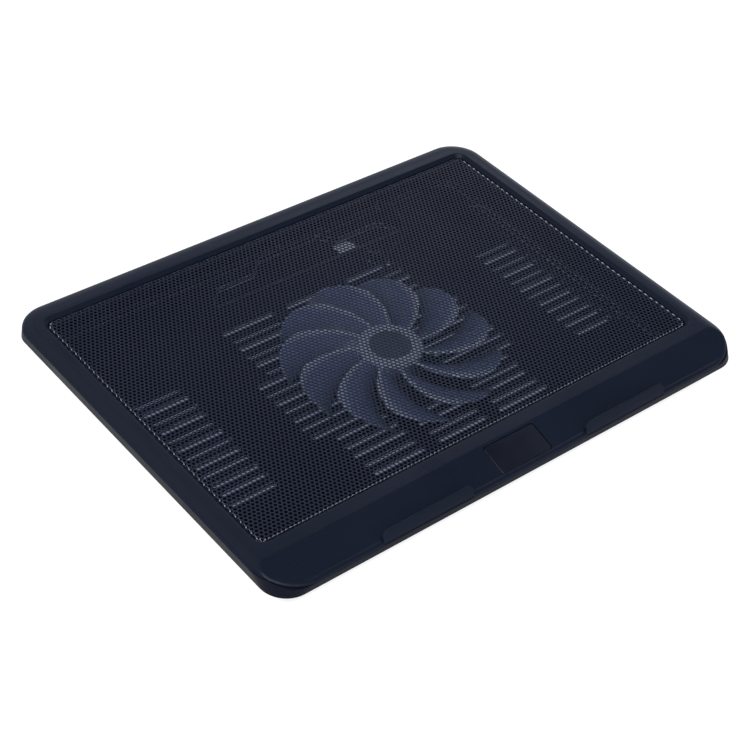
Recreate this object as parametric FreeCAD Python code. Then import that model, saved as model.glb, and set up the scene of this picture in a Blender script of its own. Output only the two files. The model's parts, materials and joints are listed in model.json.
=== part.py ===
import FreeCAD, Part
import math
import os

from FreeCAD import Vector

os.makedirs("parts", exist_ok=True)

# Laptop cooling pad: a moulded deck frame round a perforated panel, over a shallow
# vented base pan that carries one large slow fan.
# Millimetres. +X is to the user's right, +Y to the rear, +Z up.
# The origin is the centre of the pad's footprint on the surface it stands on.

# ---- overall size ----
WIDTH = 350.0
DEPTH = 265.0
FRONT_RADIUS = 26.0
REAR_RADIUS = 21.0

# ---- deck frame ----
SKIN = 2.2                  # wall thickness of the moulding
CREASE_Z = 25.0             # outer edge of the deck surface
PARTING_DROP = 1.0          # the frame meets the base cover this far below its outer edge
SKIRT_Z = 19.0              # below any part of the skirt, before it is trimmed
DECK_Z = 27.6               # flat ring round the panel
CROWN_SIDE = 9.5            # run of the convex border at the sides
CROWN_REAR = 13.0           # and at the rear
CROWN_STEPS = (0.3, 0.6, 1.0)
LEDGE_Y = -109.5            # rear edge of the sloping front ledge
LEDGE_DROP = 0.275          # fall of the ledge per millimetre forward
LIP_WIDTH = 3.0
LIP_Z = 22.2

# ---- panel opening and perforated panel ----
OPEN_X = 161.0
OPEN_FRONT = -98.8
OPEN_REAR = 116.0
OPEN_RADIUS = 5.6
OPEN_WALL = 1.8
BEVEL_RUN = 2.1             # sloping inner edge of the flat ring
BEVEL_DROP = 2.0
SEAT_Z = 25.0               # ledge that the panel's bent edge stands on
SEAT_THICK = 1.2
SEAT_WIDTH = 3.0
PANEL_GAP = 1.1
PANEL_Z = 26.0
PANEL_SHEET = 0.6
PANEL_BEND = 0.7

# ---- laptop stops and badge ----
STOP_X = 74.0
STOP_LENGTH = 63.0
STOP_CHAMFER = 2.6
STOP_Z = 28.3
STOP_THICK = 1.2
STOP_LEAN = 2.1
BADGE_WIDTH = 37.0
BADGE_DEPTH = 18.6
BADGE_Y = -120.3
BADGE_RADIUS = 1.6
BADGE_GAP = 0.45
BADGE_POCKET = 1.1
BADGE_THICK = 0.9

# ---- base cover ----
RIM_Z = 15.8                # underside of the rim
RIM_SHELF = 2.0
RIM_FOOT = (1.5, 0.2, 1.5)  # how far the rim's lower edge is in: sides, front, rear
RIM_FOOT_RADII = (16.5, 13.0)
GROOVE_HEIGHT = 0.4         # shadow groove between the rim and the deck frame
GROOVE_DEPTH = 1.5
FLOOR_Z = 3.8
FLOOR_THICK = 1.7
PAN_X = 158.5
PAN_FRONT = -102.0
PAN_REAR = 122.0
PAN_RADIUS = 15.0
PAN_CHAMFER = 3.0
PAN_DRAFT = 1.5
PAN_WALL = 1.8

# ---- vents in the base ----
FAN_Y = -8.2
VENT_PITCH = 8.55
VENT_ROWS = 9               # rows either side of the fan axis
VENT_WIDTH = 3.2
VENT_CENTRE = 18.3
VENT_INNER = 28.5
VENT_OUTER = 66.0
VENT_WIDE = 77.0
VENT_WIDE_ROWS = 3
MOTOR_ROWS = 4              # rows that the solid disc under the motor takes
SIDE_VENT_INNER = 115.0
SIDE_VENT_OUTER = 145.5
SIDE_VENT_ROWS = range(-5, 7)

# ---- foot rails and cable well, sunk below the floor ----
SUNK_Z = 0.8
SUNK_THICK = 1.6
RAIL_INNER = 148.0
RAIL_OUTER = 156.0
RAIL_FRONT = -55.0
RAIL_REAR = 88.4
RAIL_CHAMFER = 7.0
WELL_LEFT = -53.6
WELL_RIGHT = 90.6
WELL_NEAR = 93.0
WELL_FAR = 108.0
WELL_WIDE_FAR = 118.7
WELL_WIDE = (-4.0, 41.4)
WELL_CORNER = 11.0
OUTLET = (46.0, 61.0, 97.0, 107.4)
OUTLET_RADIUS = 2.5
FOOT_WIDTH = 8.0
FOOT_Z = 1.3
FOOT_POCKET = 0.5
RAIL_FOOT = (-44.0, 78.0)
WELL_FOOT = (-44.0, 36.0)
WELL_FOOT_Y = 100.5

# ---- lead from the motor to the rear wall ----
LEAD_RADIUS = 1.3
LEAD_ROUTE = [
    (12.9, 6.6, 7.7), (28.0, 33.0, 7.0), (47.0, 57.0, 6.95), (62.0, 71.0, 6.95),
    (76.0, 79.5, 6.95), (88.5, 83.0, 7.0), (97.0, 92.5, 7.9), (100.0, 109.0, 9.5),
    (100.0, 125.0, 9.5),
]
ROUTE_SHARE = 0.45
GLAND_X = 100.0
GLAND_Z = 9.5
GLAND_RADIUS = 2.9
GLAND_FLANGE = 3.8
GLAND_BLOCK = (118.5, 124.5)
GLAND_CAP = 1.3
POST_X = 54.0
POST_Y = 74.0
POST_LEG = 7.0
POST_WALL = 1.4
POST_Z = 13.0
PEG_X = 60.0
PEG_Y = 83.0
PEG_RADIUS = 1.5

# ---- fan rotor ----
HUB_RADIUS = 20.0
HUB_WALL = 1.8
HUB_Z = 21.4
HUB_TOP = 1.8
HUB_EDGE = 1.7
HUB_SKIRT_Z = 10.6
HUB_BOSS = 3.0
LABEL_RADIUS = 13.0
LABEL_RECESS = 0.5
LABEL_THICK = 0.3
ROTOR_RADIUS = 67.0
BLADES = 11
BLADE_ANGLE = 83.0          # of the first blade's upper edge at the hub
BLADE_CHORD = 29.5          # degrees
BLADE_SWEEP = 24.0          # degrees, from hub to tip
BLADE_THICK = 1.3
BLADE_CAMBER = 0.06
BLADE_ROOT = 19.4
BLADE_TIP_RADIUS = 26.0     # rounding of the tip, touching the rotor's circle
BLADE_TIP_TURN = 19.0       # this many degrees from the tip's upper corner
BLADE_FULL_RADIUS = 48.0    # the rounding starts outside this
BLADE_SECTIONS = (0.0, 0.22, 0.5, 0.78, 1.06)
BLADE_HIGH = (20.2, 19.6)   # height of the upper edge at hub and tip
BLADE_LOW = (11.3, 12.4)    # height of the lower edge at hub and tip

# ---- motor ----
PAD_RADIUS = 20.0
PAD_Z = 6.5
MOUNT_RADIUS = 19.0
MOUNT_Z = 8.0
TUBE_OUTER = 4.8
TUBE_BORE = 3.5
TUBE_TOP = 18.0
TUBE_FLOOR = 6.9
SPIGOT_RADIUS = 6.5
SPOUT_REACH = 23.5
SPOUT_WIDTH = 7.0
SPOUT_Z = 9.6
BOARD_Z = 8.8
BOARD_THICK = 1.0
BOARD_RADIUS = 13.5
SHAFT_RADIUS = 1.5
SHAFT_CLEARANCE = 0.03
SHAFT_BOTTOM = 7.35
SHAFT_TOP = 20.5
CLIP_Z = 7.75
CLIP_THICK = 0.4
CLIP_GROOVE = 1.1
SLEEVE_Z = (8.6, 17.0)
OIL_RING_Z = (17.2, 17.7)
THRUST_THICK = 0.4
CORE_RADIUS = 14.1
CORE_Z = (11.6, 16.4)
CORE_SHOE = 12.2
CORE_NECK = 7.0
POLES = 4
POLE_WIDTH = 4.5
SLOT_ANGLE = 20.0
INSULATOR = 0.6
COIL_Z = (10.2, 17.8)
COIL_RADII = (7.6, 11.2)
COIL_WIDTH = 9.0
MAGNET_RADII = (14.6, 17.2)
MAGNET_Z = (11.0, 18.4)
YOKE_WALL = 1.0
YOKE_Z = 10.9
CHIP_SIZE = (4.2, 3.2, 1.1)
CHIP_RADIUS = 9.6

# ---- screws ----
SCREW_SHANK = 1.3
SCREW_HEAD = 2.6
SCREW_HEAD_DEPTH = 1.5
SCREW_SLOT = 0.6
BOSS_RADIUS = 2.9
CASE_SCREWS = [
    (side * x, y, top)
    for side in (-1, 1)
    for x, y, top in ((168.0, -70.0, 24.6), (168.0, 85.0, 24.6), (70.0, -119.0, 23.4), (70.0, 126.2, 24.0))
]
MOTOR_SCREW_CIRCLE = 16.3
MOTOR_SCREW_ANGLES = (130.0, 250.0, 10.0)

FAR = 400.0                 # longer than anything in the part
UP = Vector(0, 0, 1)


def polar(radius, degrees, z=0.0, centre_y=0.0):
    """Point at a radius and angle about a vertical axis."""
    angle = math.radians(degrees)
    return Vector(radius * math.cos(angle), centre_y + radius * math.sin(angle), z)


def corner(x, y, radius, start, z):
    """Quarter arc of an outline, anticlockwise from the start angle."""
    centre = Vector(x, y, z)
    ends = [centre + polar(radius, start + turn) for turn in (0, 45, 90)]
    return Part.Arc(*ends).toShape()


def outline(x, front, rear, front_radius, rear_radius, z):
    """Rounded rectangle, symmetrical in X, as a closed wire."""
    arcs = [
        corner(x - front_radius, front + front_radius, front_radius, -90, z),
        corner(x - rear_radius, rear - rear_radius, rear_radius, 0, z),
        corner(rear_radius - x, rear - rear_radius, rear_radius, 90, z),
        corner(front_radius - x, front + front_radius, front_radius, 180, z),
    ]
    edges = []
    for arc, following in zip(arcs, arcs[1:] + arcs[:1]):
        edges.append(arc)
        edges.append(Part.makeLine(arc.Vertexes[-1].Point, following.Vertexes[0].Point))
    return Part.Wire(edges)


def slab(wire, height):
    """Flat wire pushed up into a solid."""
    return Part.Face(wire).extrude(UP * height)


def prism(points, z, top):
    """Polygon in plan, pushed up from z to top."""
    corners = [Vector(x, y, z) for x, y in points]
    return slab(Part.makePolygon(corners + corners[:1]), top - z)


def side_prism(points, x_from, x_to):
    """Polygon in the YZ plane, pushed along X."""
    corners = [Vector(x_from, y, z) for y, z in points]
    return Part.Face(Part.makePolygon(corners + corners[:1])).extrude(Vector(x_to - x_from, 0, 0))


def block(x0, x1, y0, y1, z0, z1):
    return Part.makeBox(x1 - x0, y1 - y0, z1 - z0, Vector(x0, y0, z0))


def drum(radius, z, top, x=0.0, y=0.0):
    return Part.makeCylinder(radius, top - z, Vector(x, y, z))


def tube(outer, inner, z, top, x=0.0, y=0.0):
    return drum(outer, z, top, x, y).cut(drum(inner, z, top, x, y))


def bar(x0, x1, y, width, z, top):
    """Round-ended bar along X."""
    half = width / 2
    ends = [drum(half, z, top, x, y) for x in (x0 + half, x1 - half)]
    return block(x0 + half, x1 - half, y - half, y + half, z, top).fuse(ends).removeSplitter()


def turned(shape, degrees, y=FAN_Y):
    """Copy of a shape, turned about the fan axis."""
    copy = shape.copy()
    copy.rotate(Vector(0, y, 0), UP, degrees)
    return copy


def save(name, *solids):
    """Write one node, and report its solids."""
    shape = solids[0] if len(solids) == 1 else Part.makeCompound(list(solids))
    shape.exportStep("parts/" + name + ".step")
    count = len(shape.Solids)
    print(f"{name:24s} solids {count:3d}  volume {shape.Volume / 1000:9.3f} cm3  valid {shape.isValid()}")


# ---------------------------------------------------------------- deck frame

def border_outline(inset, z):
    """The pad's outline, pulled in by an inset."""
    return outline(WIDTH / 2 - inset, inset - DEPTH / 2, DEPTH / 2 - inset,
                   FRONT_RADIUS - inset, REAR_RADIUS - inset, z)


def crown_outline(inset, step):
    """Outline of the convex border at a step from the crease, 0, to the flat ring, 1."""
    side = inset + CROWN_SIDE * step
    rear = inset + CROWN_REAR * step
    height = CREASE_Z + (DECK_Z - CREASE_Z) * (1 - (1 - step) ** 2) - inset
    return outline(WIDTH / 2 - side, side - DEPTH / 2, DEPTH / 2 - rear,
                   FRONT_RADIUS - side, REAR_RADIUS - rear * 0.9, height)


def ledge_height(y):
    """Height of the sloping ledge at a given Y."""
    return DECK_Z - LEDGE_DROP * (LEDGE_Y - y)


def under_parting(lower):
    """Everything below the surface where the frame meets the base, lowered by an amount."""
    level = CREASE_Z - PARTING_DROP
    knee = LEDGE_Y - (DECK_Z - CREASE_Z) / LEDGE_DROP
    end = ledge_height(-DEPTH) - PARTING_DROP
    return side_prism([(-DEPTH, -FAR), (DEPTH, -FAR), (DEPTH, level - lower), (knee, level - lower),
                       (-DEPTH, end - lower)], -WIDTH, WIDTH)


def deck_envelope(inset, bottom):
    """Everything under the deck surface, pulled in and down by an inset."""
    wires = [border_outline(inset, bottom), border_outline(inset, CREASE_Z - inset)]
    wires += [crown_outline(inset, step) for step in CROWN_STEPS]
    body = Part.makeLoft(wires, True, True)
    above_ledge = side_prism([(LEDGE_Y, DECK_Z - inset), (-FAR, ledge_height(-FAR) - inset),
                              (-FAR, FAR), (LEDGE_Y, FAR)], -FAR, FAR)
    return body.cut(above_ledge)


def panel_outline(grow, z, radius_grow=None):
    """Outline of the panel opening, grown or shrunk."""
    radius = OPEN_RADIUS + (grow if radius_grow is None else radius_grow)
    return outline(OPEN_X + grow, OPEN_FRONT - grow, OPEN_REAR + grow, radius, radius, z)


def front_lip():
    """Raised rim along the front edge and round the front corners."""
    ring = slab(border_outline(0, SKIRT_Z), LIP_Z - SKIRT_Z)
    ring = ring.cut(slab(border_outline(LIP_WIDTH, SKIRT_Z), LIP_Z - SKIRT_Z))
    return ring.common(block(-FAR, FAR, -DEPTH, LEDGE_Y, 0, FAR))


def laptop_stop(x):
    """Low stop on the front lip, with a leaning front face and chamfered ends."""
    half = STOP_LENGTH / 2
    front = -DEPTH / 2
    rear_face = front + STOP_LEAN + STOP_THICK
    profile = side_prism([(front, SKIRT_Z), (rear_face, SKIRT_Z), (rear_face, STOP_Z),
                          (front + STOP_LEAN, STOP_Z), (front, LIP_Z - 0.4)], -half, half)
    shoulder = STOP_Z - STOP_CHAMFER
    face = [(-half, 0), (half, 0), (half, shoulder), (half - STOP_CHAMFER, STOP_Z),
            (STOP_CHAMFER - half, STOP_Z), (-half, shoulder)]
    corners = [Vector(px, -DEPTH, pz) for px, pz in face]
    elevation = Part.Face(Part.makePolygon(corners + corners[:1])).extrude(Vector(0, DEPTH, 0))
    stop = profile.common(elevation)
    stop.translate(Vector(x, 0, 0))
    return stop


def badge_block(grow, below, above):
    """Rounded block lying on the ledge's slope, centred on the badge."""
    x = BADGE_WIDTH / 2 + grow
    y = BADGE_DEPTH / 2 + grow
    radius = BADGE_RADIUS + grow
    body = slab(outline(x, -y, y, radius, radius, below), above - below)
    body.rotate(Vector(0, 0, 0), Vector(1, 0, 0), math.degrees(math.atan(LEDGE_DROP)))
    body.translate(Vector(0, BADGE_Y, ledge_height(BADGE_Y)))
    return body


def top_frame():
    seat_bottom = SEAT_Z - SEAT_THICK
    shell = deck_envelope(0, SKIRT_Z).cut(deck_envelope(SKIN, SKIRT_Z - SKIN))
    shell = shell.fuse([front_lip(), laptop_stop(-STOP_X), laptop_stop(STOP_X)])
    shell = shell.fuse(badge_block(BADGE_GAP + SKIN, -SKIN - BADGE_POCKET, -0.6))
    shell = shell.cut(under_parting(0)).cut(badge_block(BADGE_GAP, -BADGE_POCKET, SKIN))
    shell = shell.fuse(slab(panel_outline(OPEN_WALL, seat_bottom), DECK_Z - BEVEL_DROP - seat_bottom))
    shell = shell.cut(slab(panel_outline(0, SEAT_Z), FAR))
    shell = shell.cut(slab(panel_outline(-SEAT_WIDTH, seat_bottom - 1, 0), FAR))
    bevel = [panel_outline(0, DECK_Z - BEVEL_DROP), panel_outline(BEVEL_RUN, DECK_Z)]
    shell = shell.cut(Part.makeLoft(bevel, True, True))
    for x, y, top in CASE_SCREWS:
        shell = shell.fuse(drum(BOSS_RADIUS, RIM_Z + RIM_SHELF, top + 0.9, x, y))
        shell = shell.cut(drum(SCREW_SHANK, RIM_Z, top, x, y))
    return shell.removeSplitter()


def mesh_panel():
    """Pressed sheet with its edge bent down; the perforations are left out."""
    sheet = slab(panel_outline(-PANEL_GAP, SEAT_Z), PANEL_Z - SEAT_Z)
    top_edges = [edge for edge in sheet.Edges if edge.BoundBox.ZMin > PANEL_Z - 0.01]
    sheet = sheet.makeFillet(PANEL_BEND, top_edges)
    inside = slab(panel_outline(-PANEL_GAP - PANEL_SHEET, SEAT_Z), PANEL_Z - PANEL_SHEET - SEAT_Z)
    return sheet.cut(inside)


def badge_plate():
    return badge_block(0, -BADGE_POCKET, BADGE_THICK - BADGE_POCKET)


# ---------------------------------------------------------------- base cover

def pan_outline(inset, z):
    return outline(PAN_X - inset, PAN_FRONT + inset, PAN_REAR - inset,
                   PAN_RADIUS - inset, PAN_RADIUS - inset, z)


def pan_body():
    """Outer form of the base: rim band above, pan below with a chamfered edge."""
    side, front, rear = RIM_FOOT
    foot = outline(WIDTH / 2 - side, front - DEPTH / 2, DEPTH / 2 - rear, *RIM_FOOT_RADII, RIM_Z)
    rim = Part.makeLoft([foot, border_outline(0, CREASE_Z)], True, True).common(under_parting(GROOVE_HEIGHT))
    tongue = slab(border_outline(GROOVE_DEPTH, RIM_Z + RIM_SHELF), CREASE_Z - RIM_Z).common(under_parting(0))
    pan = Part.makeLoft([pan_outline(PAN_CHAMFER, FLOOR_Z), pan_outline(0, FLOOR_Z + PAN_CHAMFER),
                         pan_outline(-PAN_DRAFT, RIM_Z + RIM_SHELF)], True, True)
    return rim.fuse([tongue, pan])


def pan_hollow():
    """Space inside the base, open at the top."""
    shelf_z = RIM_Z + RIM_SHELF
    above = slab(border_outline(GROOVE_DEPTH + PAN_WALL, shelf_z), FAR)
    floor = FLOOR_Z + FLOOR_THICK
    pan = Part.makeLoft([pan_outline(PAN_CHAMFER + 1.0, floor),
                         pan_outline(PAN_WALL, floor + PAN_CHAMFER - 0.6),
                         pan_outline(PAN_WALL - PAN_DRAFT, shelf_z + 0.5)], True, True)
    return above.fuse(pan)


def rail_plan(side, grow):
    """Foot rail in plan: its two outer corners are cut off."""
    inner = RAIL_INNER - grow
    outer = RAIL_OUTER + grow
    front = RAIL_FRONT - grow
    rear = RAIL_REAR + grow
    cut = RAIL_CHAMFER
    points = [(inner, front), (outer - cut, front), (outer, front + cut),
              (outer, rear - cut), (outer - cut, rear), (inner, rear)]
    return [(side * x, y) for x, y in points]


def well_plan(grow):
    """Cable well in plan: a trough with a deeper bay, and a rounded right end."""
    left, right = WELL_LEFT - grow, WELL_RIGHT + grow
    near, far, wide = WELL_NEAR - grow, WELL_FAR + grow, WELL_WIDE_FAR + grow
    bay_left, bay_right = WELL_WIDE
    slant = WELL_CORNER
    points = [(left, near), (right, near)]
    for turn in range(0, 91, 15):
        end = polar(slant, turn)
        points.append((right - slant + end.x, far - slant + end.y))
    points += [(bay_right + slant, far), (bay_right, wide), (bay_left, wide),
               (bay_left - slant, far), (left + slant, far), (left, far - slant)]
    return points


def vent_slots():
    """All the air slots in the floor, as cutting bars."""
    z, top = FLOOR_Z - 1, FLOOR_Z + FLOOR_THICK + 1
    bars = []
    for row in range(-VENT_ROWS, VENT_ROWS + 1):
        y = FAN_Y + row * VENT_PITCH
        if abs(row) > MOTOR_ROWS:
            bars.append(bar(-VENT_CENTRE, VENT_CENTRE, y, VENT_WIDTH, z, top))
        outer = VENT_WIDE if abs(row) <= VENT_WIDE_ROWS else VENT_OUTER
        bars.append(bar(VENT_INNER, outer, y, VENT_WIDTH, z, top))
        bars.append(bar(-outer, -VENT_INNER, y, VENT_WIDTH, z, top))
    for row in SIDE_VENT_ROWS:
        y = FAN_Y + row * VENT_PITCH
        bars.append(bar(SIDE_VENT_INNER, SIDE_VENT_OUTER, y, VENT_WIDTH, z, top))
        bars.append(bar(-SIDE_VENT_OUTER, -SIDE_VENT_INNER, y, VENT_WIDTH, z, top))
    return bars


def cable_posts():
    """L-shaped post and round peg that steer the lead."""
    floor = FLOOR_Z + FLOOR_THICK - 0.4
    legs = block(POST_X, POST_X + POST_LEG, POST_Y, POST_Y + POST_WALL, floor, POST_Z)
    legs = legs.fuse(block(POST_X, POST_X + POST_WALL, POST_Y, POST_Y + POST_LEG, floor, POST_Z))
    return [legs, drum(PEG_RADIUS, floor, POST_Z, PEG_X, PEG_Y)]


def foot_strips(grow, z, top):
    """Rubber strips under the two rails and the well, or the pockets that hold them."""
    rail_middle = (RAIL_INNER + RAIL_OUTER) / 2
    strips = []
    for side in (-1, 1):
        strip = bar(RAIL_FOOT[0] - grow, RAIL_FOOT[1] + grow, 0, FOOT_WIDTH + 2 * grow, z, top)
        strip.rotate(Vector(0, 0, 0), UP, 90)
        strip.translate(Vector(side * rail_middle, 0, 0))
        strips.append(strip)
    strips.append(bar(WELL_FOOT[0] - grow, WELL_FOOT[1] + grow, WELL_FOOT_Y, FOOT_WIDTH + 2 * grow, z, top))
    return strips


def base_cover():
    sunk_floor = SUNK_Z + SUNK_THICK
    floor_top = FLOOR_Z + FLOOR_THICK
    outer_plans = [rail_plan(-1, SUNK_THICK), rail_plan(1, SUNK_THICK), well_plan(SUNK_THICK)]
    inner_plans = [rail_plan(-1, 0), rail_plan(1, 0), well_plan(0)]
    body = pan_body().cut(pan_hollow())
    body = body.fuse([prism(plan, SUNK_Z, floor_top) for plan in outer_plans])
    body = body.cut(Part.makeCompound([prism(plan, sunk_floor, floor_top + 1) for plan in inner_plans]))
    gland_block = block(GLAND_X - 6, GLAND_X + 6, *GLAND_BLOCK, floor_top - 0.4, RIM_Z)
    pad = drum(PAD_RADIUS, floor_top - 0.4, PAD_Z, 0, FAN_Y)
    body = body.fuse([gland_block, pad] + cable_posts())
    x0, x1, y0, y1 = OUTLET
    outlet = slab(outline((x1 - x0) / 2, y0, y1, OUTLET_RADIUS, OUTLET_RADIUS, 0), floor_top)
    outlet.translate(Vector((x0 + x1) / 2, 0, 0))
    cuts = vent_slots() + foot_strips(0.1, 0, SUNK_Z + FOOT_POCKET) + [outlet]
    cuts.append(Part.makeCylinder(GLAND_RADIUS, 20, Vector(GLAND_X, 110, GLAND_Z), Vector(0, 1, 0)))
    for x, y, _ in CASE_SCREWS:
        cuts.append(drum(SCREW_SHANK + 0.3, RIM_Z - 1, RIM_Z + RIM_SHELF + 1, x, y))
    for angle in MOTOR_SCREW_ANGLES:
        place = polar(MOTOR_SCREW_CIRCLE, angle, 0, FAN_Y)
        cuts.append(drum(SCREW_SHANK, FLOOR_Z + 0.5, PAD_Z + 1, place.x, place.y))
    return body.cut(Part.makeCompound(cuts)).removeSplitter()


def rubber_feet():
    left, right, rear = foot_strips(0, 0, FOOT_Z)
    save("foot_strip_left", left)
    save("foot_strip_right", right)
    save("foot_strip_rear", rear)


# ---------------------------------------------------------------- lead and gland

def tangent_path(points):
    """Straight runs joined by arcs as large as the runs allow. Prints the radii."""
    points = [Vector(*point) for point in points]
    edges = []
    radii = []
    start = points[0]
    for before, here, after in zip(points, points[1:], points[2:]):
        back = (before - here).normalize()
        ahead = (after - here).normalize()
        reach = ROUTE_SHARE * min(before.distanceToPoint(here), after.distanceToPoint(here))
        half_turn = (math.pi - back.getAngle(ahead)) / 2
        radius = reach / math.tan(half_turn)
        radii.append(radius)
        bisector = (back + ahead).normalize()
        centre = here + bisector * (radius / math.cos(half_turn))
        enter, leave = here + back * reach, here + ahead * reach
        middle = centre - bisector * radius
        edges += [Part.makeLine(start, enter), Part.Arc(enter, middle, leave).toShape()]
        start = leave
    edges.append(Part.makeLine(start, points[-1]))
    print("lead radii", [round(radius, 1) for radius in radii])
    return Part.Wire(edges)


def fan_lead():
    path = tangent_path(LEAD_ROUTE)
    start = Vector(*LEAD_ROUTE[0])
    heading = Vector(*LEAD_ROUTE[1]) - start
    ring = Part.Wire(Part.makeCircle(LEAD_RADIUS, start, heading))
    lead = path.makePipeShell([ring], True, False)
    expected = math.pi * LEAD_RADIUS ** 2 * path.Length
    print(f"lead length {path.Length:.1f} mm, volume ratio {lead.Volume / expected:.4f}")
    return lead


def cable_gland():
    """Rubber bush in the rear wall: a body with a flange on each side."""
    inner, outer = GLAND_BLOCK
    along = Vector(0, 1, 0)
    body = Part.makeCylinder(GLAND_RADIUS, outer - inner, Vector(GLAND_X, inner, GLAND_Z), along)
    caps = [Part.makeCylinder(GLAND_FLANGE, GLAND_CAP, Vector(GLAND_X, y, GLAND_Z), along)
            for y in (inner - GLAND_CAP, outer)]
    bush = body.fuse(caps)
    hole = Part.makeCylinder(LEAD_RADIUS, 20, Vector(GLAND_X, 112, GLAND_Z), along)
    return bush.cut(hole).removeSplitter()


# ---------------------------------------------------------------- fan rotor

def blade_section(part_way):
    """One slice across a blade, square to the radius; part_way is 0 at the hub, 1 at the tip."""
    radius = BLADE_ROOT + (ROTOR_RADIUS - BLADE_ROOT) * part_way
    half = math.radians(BLADE_CHORD / 2)
    sweep = BLADE_SWEEP * part_way ** 1.35
    middle = BLADE_ANGLE + sweep + BLADE_CHORD / 2
    high = BLADE_HIGH[0] + (BLADE_HIGH[1] - BLADE_HIGH[0]) * part_way
    low = BLADE_LOW[0] + (BLADE_LOW[1] - BLADE_LOW[0]) * part_way
    outward = polar(1, middle)
    across = polar(1, middle + 90)
    centre = outward * (radius * math.cos(half)) + Vector(0, FAN_Y, 0)
    reach = radius * math.sin(half)
    upper = centre - across * reach + UP * high
    lower = centre + across * reach + UP * low
    chord = lower - upper
    normal = chord.cross(outward).normalize()
    if normal.z < 0:
        normal = normal * -1
    bulge = (upper + lower) * 0.5 + normal * (BLADE_CAMBER * chord.Length)
    thick = normal * BLADE_THICK
    top = Part.Arc(upper, bulge, lower).toShape()
    bottom = Part.Arc(lower - thick, bulge - thick, upper - thick).toShape()
    ends = [Part.makeLine(lower, lower - thick), Part.makeLine(upper - thick, upper)]
    return Part.Wire([top, ends[0], bottom, ends[1]])


def fan_blade():
    """One swept blade, cut to the rotor's radius, with the upper corner of its tip rounded."""
    blade = Part.makeLoft([blade_section(part_way) for part_way in BLADE_SECTIONS], True, False)
    lobe = polar(ROTOR_RADIUS - BLADE_TIP_RADIUS, BLADE_ANGLE + BLADE_SWEEP + BLADE_TIP_TURN, 0, FAN_Y)
    plan = drum(BLADE_TIP_RADIUS, 0, FAR, lobe.x, lobe.y).fuse(drum(BLADE_FULL_RADIUS, 0, FAR, 0, FAN_Y))
    return blade.common(plan)


def fan_rotor():
    blade = fan_blade()
    hub = drum(HUB_RADIUS, HUB_SKIRT_Z, HUB_Z, 0, FAN_Y)
    rim = [edge for edge in hub.Edges if edge.BoundBox.ZMin > HUB_Z - 0.01]
    hub = hub.makeFillet(HUB_EDGE, rim)
    hub = hub.fuse([turned(blade, 360 / BLADES * number) for number in range(BLADES)])
    inside = drum(HUB_RADIUS - HUB_WALL, 0, HUB_Z - HUB_TOP, 0, FAN_Y)
    inside = inside.cut(drum(HUB_BOSS, HUB_Z - HUB_TOP - 1.3, HUB_Z, 0, FAN_Y))
    hub = hub.cut(inside)
    hub = hub.cut(drum(SHAFT_RADIUS, 0, SHAFT_TOP, 0, FAN_Y))
    return hub.cut(drum(LABEL_RADIUS, HUB_Z - LABEL_RECESS, FAR, 0, FAN_Y))


def rotor_parts():
    yoke_top = HUB_Z - HUB_TOP
    yoke_radius = HUB_RADIUS - HUB_WALL
    yoke = drum(yoke_radius, YOKE_Z, yoke_top, 0, FAN_Y)
    yoke = yoke.cut(drum(yoke_radius - YOKE_WALL, YOKE_Z, yoke_top - YOKE_WALL, 0, FAN_Y))
    save("fan_rotor", fan_rotor())
    save("rotor_yoke", yoke.cut(drum(HUB_BOSS, YOKE_Z, yoke_top, 0, FAN_Y)))
    save("rotor_magnet", tube(MAGNET_RADII[1], MAGNET_RADII[0], *MAGNET_Z, 0, FAN_Y))
    label_z = HUB_Z - LABEL_RECESS
    save("hub_label", drum(LABEL_RADIUS - 0.2, label_z, label_z + LABEL_THICK, 0, FAN_Y))
    shaft = drum(SHAFT_RADIUS, SHAFT_BOTTOM, SHAFT_TOP, 0, FAN_Y)
    groove = tube(SHAFT_RADIUS + 1, CLIP_GROOVE, CLIP_Z, CLIP_Z + CLIP_THICK, 0, FAN_Y)
    save("rotor_shaft", shaft.cut(groove))
    clip = tube(SHAFT_RADIUS + 1.1, CLIP_GROOVE, CLIP_Z, CLIP_Z + CLIP_THICK, 0, FAN_Y)
    gap = block(0, 4, FAN_Y - 0.5, FAN_Y + 0.5, CLIP_Z, CLIP_Z + CLIP_THICK)
    save("shaft_clip", clip.cut(gap))


# ---------------------------------------------------------------- motor

def motor_mount():
    """Plate and bearing tube in one moulding, with a bored block that grips the lead."""
    mount = drum(MOUNT_RADIUS, PAD_Z, MOUNT_Z, 0, FAN_Y)
    start, following = (Vector(*point) for point in LEAD_ROUTE[:2])
    heading = math.degrees(math.atan2(start.y - FAN_Y, start.x))
    half = SPOUT_WIDTH / 2
    spout = block(BOARD_RADIUS + 1, SPOUT_REACH, FAN_Y - half, FAN_Y + half, PAD_Z, SPOUT_Z)
    mount = mount.fuse([drum(SPIGOT_RADIUS, PAD_Z, BOARD_Z, 0, FAN_Y),
                        drum(TUBE_OUTER, PAD_Z, TUBE_TOP, 0, FAN_Y), turned(spout, heading)])
    mount = mount.cut(Part.makeCylinder(LEAD_RADIUS, SPOUT_REACH, start, following - start))
    mount = mount.cut(drum(TUBE_BORE, TUBE_FLOOR, FAR, 0, FAN_Y))
    for angle in MOTOR_SCREW_ANGLES:
        place = polar(MOTOR_SCREW_CIRCLE, angle, 0, FAN_Y)
        mount = mount.cut(drum(SCREW_SHANK + 0.2, 0, FAR, place.x, place.y))
    return mount.removeSplitter()


def pole_arms(width, radii, z, top):
    """One bar per pole, running outward from the bearing tube."""
    arm = block(radii[0], radii[1], FAN_Y - width / 2, FAN_Y + width / 2, z, top)
    return [turned(arm, 360 / POLES * number) for number in range(POLES)]


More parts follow.
